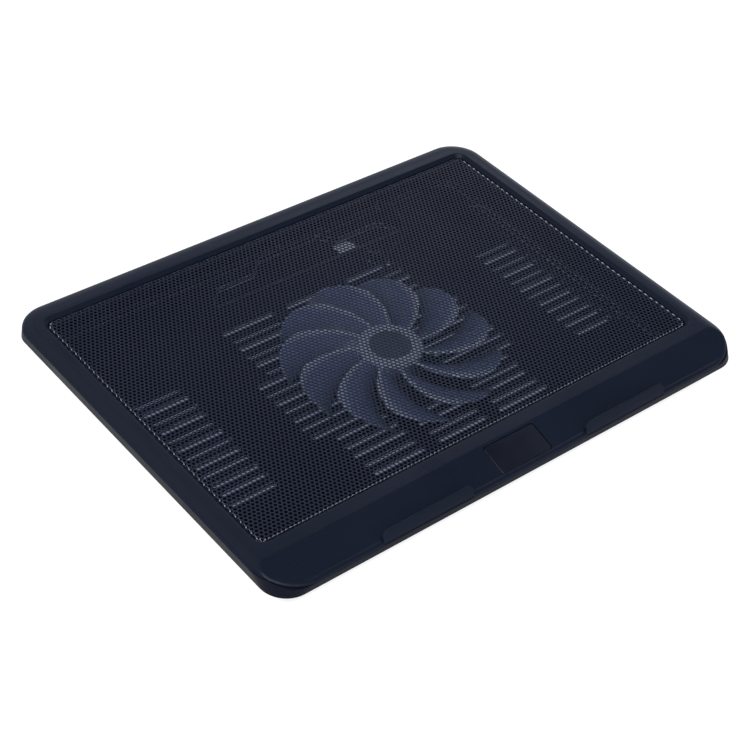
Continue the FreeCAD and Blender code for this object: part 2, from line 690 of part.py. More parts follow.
def stator_core():
    z, top = CORE_Z
    ring = tube(CORE_RADIUS, CORE_SHOE, z, top, 0, FAN_Y)
    slot = Part.makeCylinder(FAR, top - z, Vector(0, FAN_Y, z), UP, SLOT_ANGLE)
    first = 360 / POLES / 2 - SLOT_ANGLE / 2
    slots = [turned(slot, first + 360 / POLES * number) for number in range(POLES)]
    ring = ring.cut(Part.makeCompound(slots))
    arms = pole_arms(POLE_WIDTH, (TUBE_OUTER, CORE_SHOE + 0.5), z, top)
    core = ring.fuse([drum(CORE_NECK, z, top, 0, FAN_Y)] + arms)
    return core.cut(drum(TUBE_OUTER, z, top, 0, FAN_Y)).removeSplitter()


def insulator(z, top):
    """Thin plastic spider on one face of the core."""
    spider = drum(CORE_NECK, z, top, 0, FAN_Y).fuse(pole_arms(POLE_WIDTH, (TUBE_OUTER, CORE_SHOE), z, top))
    return spider.cut(drum(TUBE_OUTER, z, top, 0, FAN_Y)).removeSplitter()


def stator_coils():
    """One winding round each pole arm."""
    outer = pole_arms(COIL_WIDTH, COIL_RADII, *COIL_Z)
    core = pole_arms(POLE_WIDTH, COIL_RADII, CORE_Z[0] - INSULATOR, CORE_Z[1] + INSULATOR)
    return [winding.cut(arm) for winding, arm in zip(outer, core)]


def motor_parts():
    board_top = BOARD_Z + BOARD_THICK
    save("motor_mount", motor_mount())
    save("bearing_sleeve", tube(TUBE_BORE, SHAFT_RADIUS + SHAFT_CLEARANCE, *SLEEVE_Z, 0, FAN_Y))
    save("oil_ring", tube(TUBE_BORE, SHAFT_RADIUS + 0.2, *OIL_RING_Z, 0, FAN_Y))
    save("thrust_disc", drum(TUBE_BORE, TUBE_FLOOR, TUBE_FLOOR + THRUST_THICK, 0, FAN_Y))
    save("stator_core", stator_core())
    save("stator_insulator_upper", insulator(CORE_Z[1], CORE_Z[1] + INSULATOR))
    save("stator_insulator_lower", insulator(CORE_Z[0] - INSULATOR, CORE_Z[0]))
    save("stator_coils", *stator_coils())
    save("motor_board", tube(BOARD_RADIUS, TUBE_OUTER, BOARD_Z, board_top, 0, FAN_Y))
    length, width, height = CHIP_SIZE
    chip = block(CHIP_RADIUS - width / 2, CHIP_RADIUS + width / 2, FAN_Y - length / 2, FAN_Y + length / 2,
                 board_top, board_top + height)
    save("driver_chip", turned(chip, 45))


# ---------------------------------------------------------------- screws

def screw(x, y, head_z, tip_z):
    """Pan-head screw with a cross slot; it points away from its head."""
    down = 1 if tip_z > head_z else -1
    head = drum(SCREW_HEAD, min(head_z, head_z - down * SCREW_HEAD_DEPTH),
                max(head_z, head_z - down * SCREW_HEAD_DEPTH), x, y)
    rim_z = head_z - down * SCREW_HEAD_DEPTH
    rim = [edge for edge in head.Edges if abs(edge.BoundBox.Center.z - rim_z) < 0.01]
    head = head.makeFillet(0.5, rim)
    shank = drum(SCREW_SHANK, min(head_z, tip_z), max(head_z, tip_z), x, y)
    low, high = sorted((rim_z, rim_z + down * 0.7))
    slots = [block(x - 1.6, x + 1.6, y - SCREW_SLOT / 2, y + SCREW_SLOT / 2, low, high),
             block(x - SCREW_SLOT / 2, x + SCREW_SLOT / 2, y - 1.6, y + 1.6, low, high)]
    return head.fuse(shank).cut(Part.makeCompound(slots))


def screws():
    save("case_screws", *[screw(x, y, RIM_Z, top) for x, y, top in CASE_SCREWS])
    places = [polar(MOTOR_SCREW_CIRCLE, angle, 0, FAN_Y) for angle in MOTOR_SCREW_ANGLES]
    save("motor_screws", *[screw(place.x, place.y, MOUNT_Z, FLOOR_Z + 0.5) for place in places])


save("top_frame", top_frame())
save("mesh_panel", mesh_panel())
save("badge_plate", badge_plate())
save("base_cover", base_cover())
rubber_feet()
save("fan_lead", fan_lead())
save("cable_gland", cable_gland())
rotor_parts()
motor_parts()
screws()
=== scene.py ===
import json
import math

import bpy
import numpy as np
from mathutils import Matrix, Vector


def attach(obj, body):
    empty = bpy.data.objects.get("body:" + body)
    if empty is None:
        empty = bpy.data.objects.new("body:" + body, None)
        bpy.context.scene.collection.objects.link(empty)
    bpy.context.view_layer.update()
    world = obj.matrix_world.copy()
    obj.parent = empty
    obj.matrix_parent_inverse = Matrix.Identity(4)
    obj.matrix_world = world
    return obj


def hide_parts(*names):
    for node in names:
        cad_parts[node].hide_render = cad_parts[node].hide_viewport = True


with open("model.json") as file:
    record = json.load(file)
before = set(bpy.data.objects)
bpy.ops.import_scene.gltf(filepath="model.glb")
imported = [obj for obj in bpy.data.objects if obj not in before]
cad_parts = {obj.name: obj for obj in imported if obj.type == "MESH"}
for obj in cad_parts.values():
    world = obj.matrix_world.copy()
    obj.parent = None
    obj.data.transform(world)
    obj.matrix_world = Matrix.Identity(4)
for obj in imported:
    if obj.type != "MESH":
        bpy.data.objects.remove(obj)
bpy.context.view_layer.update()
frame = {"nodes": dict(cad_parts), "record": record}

# Laptop cooling pad. Lengths are in millimetres unless a name says otherwise, in the CAD frame:
# +X to the user's right, +Y to the rear, +Z up.
MM = 0.001
SHARP_ANGLE = math.radians(34)

# ---- deck frame, as in the CAD model ----
WIDTH = 350.0
DEPTH = 265.0
FRONT_RADIUS = 26.0
REAR_RADIUS = 21.0
SKIN = 2.2
CREASE_Z = 25.0
PARTING_DROP = 1.0
DECK_Z = 27.6
CROWN_SIDE = 9.5
CROWN_REAR = 13.0
LEDGE_Y = -109.5
LEDGE_DROP = 0.275
LIP_WIDTH = 3.0
LIP_Z = 22.2
OPEN_X = 161.0
OPEN_FRONT = -98.8
OPEN_REAR = 116.0
OPEN_RADIUS = 5.6
OPEN_WALL = 1.8
BEVEL_RUN = 2.1
BEVEL_DROP = 2.0
SEAT_THICK = 1.2
SEAT_WIDTH = 3.0
STOP_X = 74.0
STOP_LENGTH = 63.0
STOP_CHAMFER = 2.6
STOP_Z = 28.3
STOP_THICK = 1.2
STOP_LEAN = 2.1
BADGE_WIDTH = 37.0
BADGE_DEPTH = 18.6
BADGE_Y = -120.3
BADGE_RADIUS = 1.6
BADGE_GAP = 0.45
BADGE_POCKET = 1.1
BADGE_THICK = 0.9

# ---- hidden heights that are not the CAD model's ----
SEAT_Z = 23.6               # 1.4 lower than there, for a deeper bent edge of the panel
STOP_FOOT_Z = 20.5          # a stop's plate starts here, inside the frame

# ---- softened edges of the deck frame ----
EDGE_RUN = 2.0              # the outer edge is rounded over this width
EDGE_DROP = 0.8             # and this height
LEDGE_BLEND = 0.22          # height over which the flat ring rounds into the ledge
CROWN_BLEND = 0.5
LIP_BLEND = 0.22
LIP_SLOPE = 2.6
BEVEL_BLEND = 0.35
TOE = 0.15                  # chamfer at the wall's lower edge
STOP_EDGE = 0.35
STOP_SUNK = 0.4             # a stop starts to lean this far below the lip's crest
BADGE_EDGE = 0.3
BADGE_CHAMFER = 0.1

# ---- fineness of the deck's mesh ----
CORNER_STEPS = 56
SIDE_STEPS = 26
FIELD_STEPS = 84
FIELD_CROWDING = 1.5        # above 1, the rings crowd toward the outer edge
BEVEL_STEPS = 16
UNDER_STEPS = 8

# ---- perforated panel ----
PANEL_GAP = 1.1
PANEL_Z = 26.0
PANEL_SHEET = 0.6
PANEL_BEND = 0.7
HOLE_PITCH = 2.756
HOLE_RADIUS = 1.14
HOLE_SIDES = 12
PANEL_PARTS = 4
SPARE_SIDE = 4.0            # the pattern of holes starts this far outside the panel
SPARE_FRONT = 3.0
SPARE_ROWS = 6

# ---- scales of the banded textures ----
WIRE_SCALE = 500.0
LAMINATION_SCALE = 640.0

# ---- heights of the painted shade and painted highlights ----
BLADE_PAINTED_SHADE = (12.0, 18.5)  # painted shade: from the blades' darkened foot to their full colour
# painted highlight along the blades' upper edge
BLADE_PAINTED_HIGHLIGHT = (19.1, 19.8)
PAN_PAINTED_HIGHLIGHT = (13.4, 14.4)   # the base's painted edge highlight ends here

# ---- camera: angles in degrees ----
AZIMUTH = -42.46
ELEVATION = 40.91
ROLL = 5.55
AIM = (-28.6, -28.6, 26.0)
DISTANCE = 1000.6
LENS = 83.35
SENSOR = 36

# ---- studio: places and sizes in metres, powers in watts ----
LIGHTS = (
    ("top_panel", (-1.0, -0.8, 2.0), (1.8, 1.8), 46.0),
    ("left_strip", (-1.25, 0.85, 0.36), (0.9, 0.35), 1.5),
    ("front_strip", (0.75, -1.25, 0.4), (0.9, 0.35), 1.5),
    ("rear_panel", (-0.5, 1.1, 1.3), (1.5, 1.2), 2.5),
    ("right_panel", (0.75, 0.8, 0.72), (0.4, 0.4), 0.3))
SKY_LEVELS = ((0.0, 0.55), (0.3, 0.5), (0.5, 0.38), (0.6, 0.2), (0.7, 0.1), (0.85, 0.06), (1.0, 0.05))
SKY_TINT = (0.82, 0.92, 1.2)
SKY_LEFT = 0.45
SKY_RIGHT = 1.15
FLOOR_REACH = 4.0
FLOOR_PAINT = (0.25, 0.25, 0.25, 1)
FLOOR_GLOW = (0.98, 0.98, 0.98, 1)
# painted shadow under the pad's pan: its dim bluish glow, and the reach and fade of its patch
UNDER_PAD_PAINTED_SHADOW = (0.125, 0.14, 0.2, 1)
PAINTED_SHADOW_REACH = (("X", 0.163), ("Y", 0.124))
PAINTED_SHADOW_FADE = 0.012


# ---------------------------------------------------------------- mesh helpers

def smooth_min(a, b, blend):
    """Lower of two heights, rounded where they meet."""
    overlap = np.maximum(blend - np.abs(a - b), 0) / blend
    return np.minimum(a, b) - overlap ** 2 * blend / 4


def smooth_max(a, b, blend):
    """Higher of two heights, rounded where they meet."""
    return -smooth_min(-a, -b, blend)


def rounded_rectangle(x, front, rear, front_radius, rear_radius):
    """Stations round a rounded rectangle, anticlockwise; rings of any size match station by station."""
    corners = [(x - front_radius, front + front_radius, front_radius, -90),
               (x - rear_radius, rear - rear_radius, rear_radius, 0),
               (rear_radius - x, rear - rear_radius, rear_radius, 90),
               (front_radius - x, front + front_radius, front_radius, 180)]
    arcs = []
    for centre_x, centre_y, radius, start in corners:
        angle = np.radians(start + np.linspace(0, 90, CORNER_STEPS + 1))
        arcs.append(np.column_stack((centre_x + radius * np.cos(angle), centre_y + radius * np.sin(angle))))
    points = []
    for arc, following in zip(arcs, arcs[1:] + arcs[:1]):
        points.append(arc)
        points.append(np.linspace(arc[-1], following[0], SIDE_STEPS + 1)[1:-1])
    return np.concatenate(points)


def with_height(plan, z):
    """Plan points raised to one height, or to a height each."""
    return np.column_stack((plan, np.broadcast_to(z, len(plan))))


def add_piece(name, points, faces, material, slot_name, body="pad", replaces=None, bevel=None):
    """Closed mesh piece from points in millimetres."""
    mesh = bpy.data.meshes.new(name)
    mesh.from_pydata((np.asarray(points) * MM).tolist(), [], faces)
    mesh.validate()
    mesh.shade_smooth()
    mesh.set_sharp_from_angle(angle=SHARP_ANGLE)
    mesh.materials.append(material)
    piece = bpy.data.objects.new(name, mesh)
    bpy.context.scene.collection.objects.link(piece)
    if bevel:
        modifier = piece.modifiers.new("bevel", "BEVEL")
        modifier.width = bevel * MM
        modifier.segments = 3
        modifier.limit_method = "ANGLE"
        modifier.angle_limit = SHARP_ANGLE
        modifier.harden_normals = True
    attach(piece, body)
    if replaces:
        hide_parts(replaces)
    return piece


def ring_faces(rows, stations, closed):
    """Quads between successive rings of stations, and the last to the first if closed."""
    faces = []
    for row in range(rows if closed else rows - 1):
        here = row * stations
        above = (row + 1) % rows * stations
        for station in range(stations):
            after = (station + 1) % stations
            faces.append((here + station, here + after, above + after, above + station))
    return faces


def capped_faces(loops):
    """Faces of a solid through loops of equal length, with both ends closed."""
    stations = len(loops[0])
    faces = ring_faces(len(loops), stations, False)
    faces.append(tuple(reversed(range(stations))))
    faces.append(tuple(range((len(loops) - 1) * stations, len(loops) * stations)))
    return faces


def lofted(name, loops, material, slot_name, **options):
    """Solid piece through loops of equal length, from the lowest to the highest."""
    return add_piece(name, np.concatenate(loops), capped_faces(loops), material, slot_name, **options)


# ---------------------------------------------------------------- deck frame

def border_ring(inset):
    """The pad's outline, moved in."""
    return rounded_rectangle(WIDTH / 2 - inset, inset - DEPTH / 2, DEPTH / 2 - inset,
                             FRONT_RADIUS - inset, REAR_RADIUS - inset)


def opening_ring(grow):
    """The panel opening's outline, moved out."""
    radius = OPEN_RADIUS + grow
    return rounded_rectangle(OPEN_X + grow, OPEN_FRONT - grow, OPEN_REAR + grow, radius, radius)


def border_distance(plan):
    """Distance in from the pad's outline, and how far round to the rear the nearest edge is."""
    x, y = np.abs(plan[:, 0]), plan[:, 1]
    radius = np.where(y < 0, FRONT_RADIUS, REAR_RADIUS)
    beyond_x = x - WIDTH / 2 + radius
    beyond_y = np.abs(y) - DEPTH / 2 + radius
    corner = np.hypot(np.maximum(beyond_x, 0), np.maximum(beyond_y, 0))
    inner = np.minimum(np.maximum(beyond_x, beyond_y), 0)
    in_corner = np.minimum(beyond_x, beyond_y) > 0
    turn = np.where(in_corner, np.maximum(beyond_y, 0) / np.maximum(corner, 1e-6), beyond_y > beyond_x)
    return radius - corner - inner, np.where(y > 0, turn, 0.0)


def ledge_height(y):
    """Height of the sloping front ledge's plane."""
    return DECK_Z - LEDGE_DROP * (LEDGE_Y - y)


def deck_height(plan):
    """Height of the deck's surface: a crowned border, the flat ring, the ledge and the lip."""
    inset, rear = border_distance(plan)
    width = CROWN_SIDE + (CROWN_REAR - CROWN_SIDE) * rear ** 2
    step = np.clip(inset / width, 0, 1)
    crown = CREASE_Z + (DECK_Z - CREASE_Z) * (1 - (1 - step) ** 2)
    blend = np.where(step < 1, CROWN_BLEND, LEDGE_BLEND)
    height = smooth_min(crown, ledge_height(plan[:, 1]), blend)
    lip = LIP_Z - LIP_SLOPE * np.maximum(inset - LIP_WIDTH + LIP_BLEND, 0)
    return smooth_max(height, lip, LIP_BLEND)


def parting_height(plan):
    """Lower edge of the frame, where it meets the base cover."""
    return np.minimum(CREASE_Z, ledge_height(plan[:, 1])) - PARTING_DROP


def deck_rows():
    """Rings of points round the frame's whole section, starting under the panel's seat."""
    rows = [with_height(opening_ring(-SEAT_WIDTH), SEAT_Z - SEAT_THICK),
            with_height(opening_ring(-SEAT_WIDTH), SEAT_Z),
            with_height(opening_ring(0), SEAT_Z),
            with_height(opening_ring(0), DECK_Z - BEVEL_DROP)]
    land = 2 * BEVEL_RUN
    for grow in np.linspace(0, land, BEVEL_STEPS + 1)[1:]:
        slope = DECK_Z - BEVEL_DROP + grow * BEVEL_DROP / BEVEL_RUN
        rows.append(with_height(opening_ring(grow), smooth_min(slope, DECK_Z, BEVEL_BLEND)))
    inner, outer = opening_ring(land), border_ring(EDGE_RUN)
    for share in np.linspace(0, 1, FIELD_STEPS + 1)[1:]:
        plan = inner + (outer - inner) * (1 - (1 - share) ** FIELD_CROWDING)
        rows.append(with_height(plan, deck_height(plan)))
    for angle in np.radians((15, 30, 45, 60, 75, 90)):
        plan = border_ring(EDGE_RUN * (1 - math.sin(angle)))
        rows.append(with_height(plan, deck_height(plan) - EDGE_DROP * (1 - math.cos(angle))))
    wall, toe, inside = border_ring(0), border_ring(TOE), border_ring(SKIN)
    rows.append(with_height(wall, parting_height(wall) + TOE))
    rows.append(with_height(toe, parting_height(toe)))
    rows.append(with_height(inside, parting_height(inside)))
    well = opening_ring(OPEN_WALL)
    for share in np.linspace(0, 1, UNDER_STEPS + 1)[1:]:
        plan = inside + (well - inside) * share
        rows.append(with_height(plan, np.maximum(deck_height(plan) - SKIN, parting_height(plan))))
    rows.append(with_height(well, SEAT_Z - SEAT_THICK))
    return rows


def on_ledge(points):
    """Points about the badge's centre, laid on the ledge's slope."""
    turn = Matrix.Rotation(math.atan(LEDGE_DROP), 3, "X")
    centre = np.array((0, BADGE_Y, ledge_height(BADGE_Y)))
    return np.asarray(points) @ np.array(turn).T + centre


def badge_loop(grow, z):
    """Outline of the badge or its pocket, few enough stations for a small part."""
    x, y, radius = BADGE_WIDTH / 2 + grow, BADGE_DEPTH / 2 + grow, BADGE_RADIUS + grow
    points = []
    for centre_x, centre_y, start in ((x, -y, -90), (x, y, 0), (-x, y, 90), (-x, -y, 180)):
        for turn in range(0, 91, 10):
            angle = math.radians(start + turn)
            points.append((centre_x - math.copysign(radius, centre_x) + radius * math.cos(angle),
                           centre_y - math.copysign(radius, centre_y) + radius * math.sin(angle), z))
    return on_ledge(points)


def cut_pocket(deck):
    """Sink the badge's pocket into the deck."""
    clear_above = 2.0
    loops = [badge_loop(BADGE_GAP, z) for z in (-BADGE_POCKET, clear_above)]
    mesh = bpy.data.meshes.new("pocket")
    mesh.from_pydata((np.concatenate(loops) * MM).tolist(), [], capped_faces(loops))
    cutter = bpy.data.objects.new("pocket", mesh)
    bpy.context.scene.collection.objects.link(cutter)
    modifier = deck.modifiers.new("pocket", "BOOLEAN")
    modifier.object = cutter
    modifier.operation = "DIFFERENCE"
    modifier.solver = "EXACT"
    evaluated = deck.evaluated_get(bpy.context.evaluated_depsgraph_get())
    deck.data = bpy.data.meshes.new_from_object(evaluated)
    deck.modifiers.clear()
    bpy.data.objects.remove(cutter)
    deck.data.set_sharp_from_angle(angle=SHARP_ANGLE)


def add_deck(plastic):
    """The frame, as one closed ring with the badge's pocket sunk in its ledge."""
    rows = deck_rows()
    deck = add_piece("deck_frame", np.concatenate(rows), ring_faces(len(rows), len(rows[0]), True),
                     plastic, "deck_plastic", replaces="top_frame")
    cut_pocket(deck)


def add_stop(name, middle, plastic):
    """One laptop stop: a low plate on the front lip, leaning back, with its upper corners cut off."""
    front = -DEPTH / 2
    rear = front + STOP_LEAN + STOP_THICK
    lean_from = LIP_Z - STOP_SUNK
    half = STOP_LENGTH / 2
    profile = ((STOP_FOOT_Z, half), (lean_from, half),
               (STOP_Z - STOP_CHAMFER, half), (STOP_Z, half - STOP_CHAMFER))
    loops = []
    for z, x in profile:
        lean = front + STOP_LEAN * max(0.0, z - lean_from) / (STOP_Z - lean_from)
        left, right = middle - x, middle + x
        loops.append([(left, lean, z), (right, lean, z), (right, rear, z), (left, rear, z)])
    lofted(name, loops, plastic, "deck_plastic", bevel=STOP_EDGE)


def add_badge(plastic):
    """Blank inset in the ledge, with a rounded upper edge."""
    loops = [badge_loop(-BADGE_CHAMFER, -BADGE_POCKET), badge_loop(0, BADGE_CHAMFER - BADGE_POCKET)]
    top = BADGE_THICK - BADGE_POCKET
    for angle in np.radians((0, 30, 60, 90)):
        drop = BADGE_EDGE * (1 - math.sin(angle))
        pull = BADGE_EDGE * (1 - math.cos(angle))
        loops.append(badge_loop(-pull, top - drop))
    lofted("badge_inset", loops, plastic, "badge_plastic", replaces="badge_plate")


# ---------------------------------------------------------------- perforated panel

def fold(points, depth):
    """Bend a flat sheet over the panel's edge: depth is how far each point lies below the top face."""
    flat_x = OPEN_X - PANEL_GAP - PANEL_BEND
    flat_y = (OPEN_REAR - OPEN_FRONT) / 2 - PANEL_GAP - PANEL_BEND
    middle = (OPEN_REAR + OPEN_FRONT) / 2
    radius = OPEN_RADIUS - PANEL_GAP - PANEL_BEND
    x, y = points[:, 0], points[:, 1] - middle
    core_x = np.clip(x, radius - flat_x, flat_x - radius)
    core_y = np.clip(y, radius - flat_y, flat_y - radius)
    away_x, away_y = x - core_x, y - core_y
    away = np.hypot(away_x, away_y)
    beyond = np.maximum(away - radius, 0)
    unit_x, unit_y = away_x / np.maximum(away, 1e-9), away_y / np.maximum(away, 1e-9)
    quarter = PANEL_BEND * math.pi / 2
    drop_end = PANEL_Z - SEAT_Z - PANEL_BEND
    beyond = np.minimum(beyond, quarter + drop_end)
    turn = np.minimum(beyond, quarter) / PANEL_BEND
    arm = PANEL_BEND - depth
    out = np.minimum(away, radius) + np.where(beyond > 0, arm * np.sin(turn), 0)
    fall = PANEL_BEND - arm * np.cos(turn) + np.maximum(beyond - quarter, 0)
    return np.column_stack((core_x + unit_x * out, core_y + unit_y * out + middle, PANEL_Z - fall)), beyond


def panel_cells():
    """Centres of the staggered holes on the flat sheet, running past its edges on every side."""
    half_x = OPEN_X - PANEL_GAP + SPARE_SIDE
    row_step = HOLE_PITCH * math.sqrt(3) / 2
    rows = int((OPEN_REAR - OPEN_FRONT) / row_step) + SPARE_ROWS
    columns = int(2 * half_x / HOLE_PITCH) + 2
    centres = []
    for row in range(rows):
        shift = HOLE_PITCH / 2 * (row % 2)
        for column in range(columns):
            centres.append((-half_x + shift + column * HOLE_PITCH, OPEN_FRONT - SPARE_FRONT + row * row_step))
    return np.array(centres)


def cell_faces():
    """Triangles of one cell: its corners are points 0 to 5, its hole's edge the rest."""
    step = HOLE_SIDES // 6
    faces = []
    for side in range(6):
        ring = [6 + (side * step + number) % HOLE_SIDES for number in range(step + 1)]
        for here, there in zip(ring, ring[1:]):
            faces.append((side, there, here))
        faces.append((side, (side + 1) % 6, ring[-1]))
    return np.array(faces)


def cell_points():
    """One cell on the flat sheet: six corners shared with its neighbours, then the hole's edge."""
    corner_angle = np.radians(30 + 60 * np.arange(6))
    hole_angle = np.radians(30 + 360 / HOLE_SIDES * np.arange(HOLE_SIDES))
    corners = np.column_stack((np.cos(corner_angle), np.sin(corner_angle))) * HOLE_PITCH / math.sqrt(3)
    hole = np.column_stack((np.cos(hole_angle), np.sin(hole_angle))) * HOLE_RADIUS
    return np.concatenate((corners, hole))


def wall_faces(upper, points):
    """Quads between the two skins of the sheet, wherever the upper skin has an open edge."""
    edges = np.concatenate((upper[:, [0, 1]], upper[:, [1, 2]], upper[:, [2, 0]]))
    forward = edges[:, 0] * points + edges[:, 1]
    backward = edges[:, 1] * points + edges[:, 0]
    here, there = edges[~np.isin(forward, backward)].T
    return np.column_stack((there, here, here + points, there + points))


def add_panel(material):
    """The perforated sheet, in strips so that each mesh stays a handy size."""
    pattern, faces, centres = cell_points(), cell_faces(), panel_cells()
    reach = fold(centres, 0.0)[1]
    limit = PANEL_BEND * math.pi / 2 + PANEL_Z - SEAT_Z - PANEL_BEND
    centres = centres[reach < limit - HOLE_RADIUS]
    order = np.argsort(centres[:, 1], kind="stable")
    for number, strip in enumerate(np.array_split(centres[order], PANEL_PARTS), 1):
        plan = (strip[:, None, :] + pattern[None]).reshape(-1, 2)
        shared, index = np.unique(np.round(plan, 3), axis=0, return_inverse=True)
        top, bottom = (fold(shared, depth)[0] for depth in (0.0, PANEL_SHEET))
        cells = (np.arange(len(strip)) * len(pattern))[:, None, None] + faces[None]
        upper = index.reshape(-1)[cells.reshape(-1, 3)]
        lower = upper[:, ::-1] + len(shared)
        skins = upper.tolist() + lower.tolist() + wall_faces(upper, len(shared)).tolist()
        add_piece(f"perforated_panel_{number}", np.concatenate((top, bottom)), skins,
                  material, "panel_metal", replaces="mesh_panel")


# ---------------------------------------------------------------- materials

class Shader:
    """A material's nodes, added and linked by short calls."""

    def __init__(self, name, base, roughness, sockets=None):
        self.slot = name        # the material itself may be renamed, as the CAD's own takes this name first
        self.material = bpy.data.materials.new(name)
        self.material.use_nodes = True
        self.tree = self.material.node_tree
        self.bsdf = self.tree.nodes["Principled BSDF"]
        self.bsdf.inputs["Base Color"].default_value = (*base, 1)
        self.bsdf.inputs["Roughness"].default_value = roughness
        for socket, value in (sockets or {}).items():
            self.bsdf.inputs[socket].default_value = value
        self.place = self.add("ShaderNodeTexCoord").outputs["Object"]

    def add(self, kind, sockets=None, **settings):
        """New node, with values for its sockets and its other settings."""
        node = self.tree.nodes.new(kind)
        for socket, value in (sockets or {}).items():
            node.inputs[socket].default_value = value
        for setting, value in settings.items():
            setattr(node, setting, value)
        return node

    def link(self, source, target):
        self.tree.links.new(source, target)

    def noise(self, scale, detail=3.0, stretch=None):
        """Noise fixed to the piece; its scale is per metre."""
        node = self.add("ShaderNodeTexNoise", {"Scale": scale, "Detail": detail})
        place = self.place
        if stretch:
            mapping = self.add("ShaderNodeMapping", {"Scale": stretch})
            self.link(place, mapping.inputs["Vector"])
            place = mapping.outputs["Vector"]
        self.link(place, node.inputs["Vector"])
        return node.outputs["Fac"]

    def ranged(self, source, low, high, start=0.0, end=1.0):
        """Ramp from low, where the source is at start, to high, where it is at end."""
        limits = {"From Min": start, "From Max": end, "To Min": low, "To Max": high}
        node = self.add("ShaderNodeMapRange", limits)
        self.link(source, node.inputs["Value"])
        return node.outputs["Result"]

    def times(self, first, second):
        node = self.add("ShaderNodeMath", operation="MULTIPLY")
        self.link(first, node.inputs[0])
        self.link(second, node.inputs[1])
        return node.outputs["Value"]

    def height(self, low, high, start, end):
        """Ramp over the height in the CAD frame, between two heights in millimetres."""
        split = self.add("ShaderNodeSeparateXYZ")
        self.link(self.place, split.inputs["Vector"])
        return self.ranged(split.outputs["Z"], low, high, start * MM, end * MM)

    def level(self, low, high, start, end):
        """Ramp over how far the surface faces up: 0 on a wall, 1 on a flat top."""
        split = self.add("ShaderNodeSeparateXYZ")
        self.link(self.add("ShaderNodeNewGeometry").outputs["Normal"], split.inputs["Vector"])
        return self.ranged(split.outputs["Z"], low, high, start, end)

    def tint(self, mask, colour):
        """Mix a colour over what the base colour is so far, where a mask is 1."""
        mix = self.add("ShaderNodeMixRGB", {"Color2": (*colour, 1)})
        target = self.bsdf.inputs["Base Color"]
        if target.is_linked:
            self.link(target.links[0].from_socket, mix.inputs["Color1"])
        else:
            mix.inputs["Color1"].default_value = target.default_value
        self.link(mask, mix.inputs["Fac"])
        self.link(mix.outputs["Color"], target)

    def bump(self, height, distance, strength=1.0):
        """Relief in metres, over any relief added before."""
        node = self.add("ShaderNodeBump", {"Distance": distance, "Strength": strength})
        self.link(height, node.inputs["Height"])
        target = self.bsdf.inputs["Normal"]
        if target.is_linked:
            self.link(target.links[0].from_socket, node.inputs["Normal"])
        self.link(node.outputs["Normal"], target)

    def edges(self, radius):
        """Mask of the convex and concave edges, and the normals that round them."""
        bevel = self.add("ShaderNodeBevel", {"Radius": radius}, samples=4)
        dot = self.add("ShaderNodeVectorMath", operation="DOT_PRODUCT")
        self.link(bevel.outputs["Normal"], dot.inputs[0])
        self.link(self.add("ShaderNodeNewGeometry").outputs["Normal"], dot.inputs[1])
        return self.ranged(dot.outputs["Value"], 1.0, 0.0, 0.86, 0.99), bevel.outputs["Normal"]

    def mottled(self, base):
        """Slow drift of the colour, and a finer, darker grain."""
        self.tint(self.ranged(self.noise(14.0, 4.0), 0.0, 0.5, 0.35, 0.75), lighter(base, 1.22))
        self.tint(self.ranged(self.noise(900.0, 2.0), 0.0, 0.35, 0.4, 0.8), lighter(base, 0.72))

    def uneven_gloss(self, roughness):
        """Roughness that drifts a little about its value."""
        drift = self.ranged(self.noise(30.0, 5.0), roughness - 0.05, roughness + 0.07, 0.3, 0.7)
        self.link(drift, self.bsdf.inputs["Roughness"])

    def specks(self, scale, size, colour):
        """Sparse pale dust."""
        cells = self.add("ShaderNodeTexVoronoi", {"Scale": scale})
        self.link(self.place, cells.inputs["Vector"])
        near = self.ranged(cells.outputs["Distance"], 1.0, 0.0, size * 0.5, size)
        split = self.add("ShaderNodeSeparateColor")
        self.link(cells.outputs["Color"], split.inputs["Color"])
        chosen = self.ranged(split.outputs["Red"], 0.0, 1.0, 0.86, 0.88)
        self.tint(self.times(near, chosen), colour)


def lighter(colour, factor):
    """The colour scaled, and held below 1."""
    return tuple(min(1.0, part * factor) for part in colour)


def moulded(name, base, roughness, grain=2600.0, relief=0.00004, dust=True, edge=0.0004, edge_highlight_and_wear=None,
            specular=0.5):
    """Satin moulded plastic: fine spark grain, slow colour drift, pale edges that are partly rubbed wear and
    partly a painted highlight, and a little dust.
    """
    shader = Shader(name, base, roughness, {"Specular IOR Level": specular})
    shader.mottled(base)
    if edge:
        patches = shader.ranged(shader.noise(60.0, 4.0), 0.3, 0.9, 0.4, 0.65)
        mask, rounded = shader.edges(edge)
        shader.link(rounded, shader.bsdf.inputs["Normal"])
        # pale edges: partly rubbed wear, partly a painted highlight
        shader.tint(shader.times(mask, patches), edge_highlight_and_wear or lighter(base, 2.2))
    if dust:
        shader.specks(55.0, 0.018, (0.2, 0.21, 0.24))
    shader.uneven_gloss(roughness)
    shader.bump(shader.noise(grain, 2.0), relief, 0.5)
    return shader


def deck_moulding(name, base):
    """Satin deck plastic: polished on its flat top, duller on the sloping ledge, matt on its walls."""
    shader = moulded(name, base, 0.3, edge=0)
    polish = shader.times(shader.level(0.05, 0.34, 0.5, 0.95), shader.level(0.55, 1.0, 0.988, 0.998))
    shader.link(polish, shader.bsdf.inputs["Specular IOR Level"])
    return shader


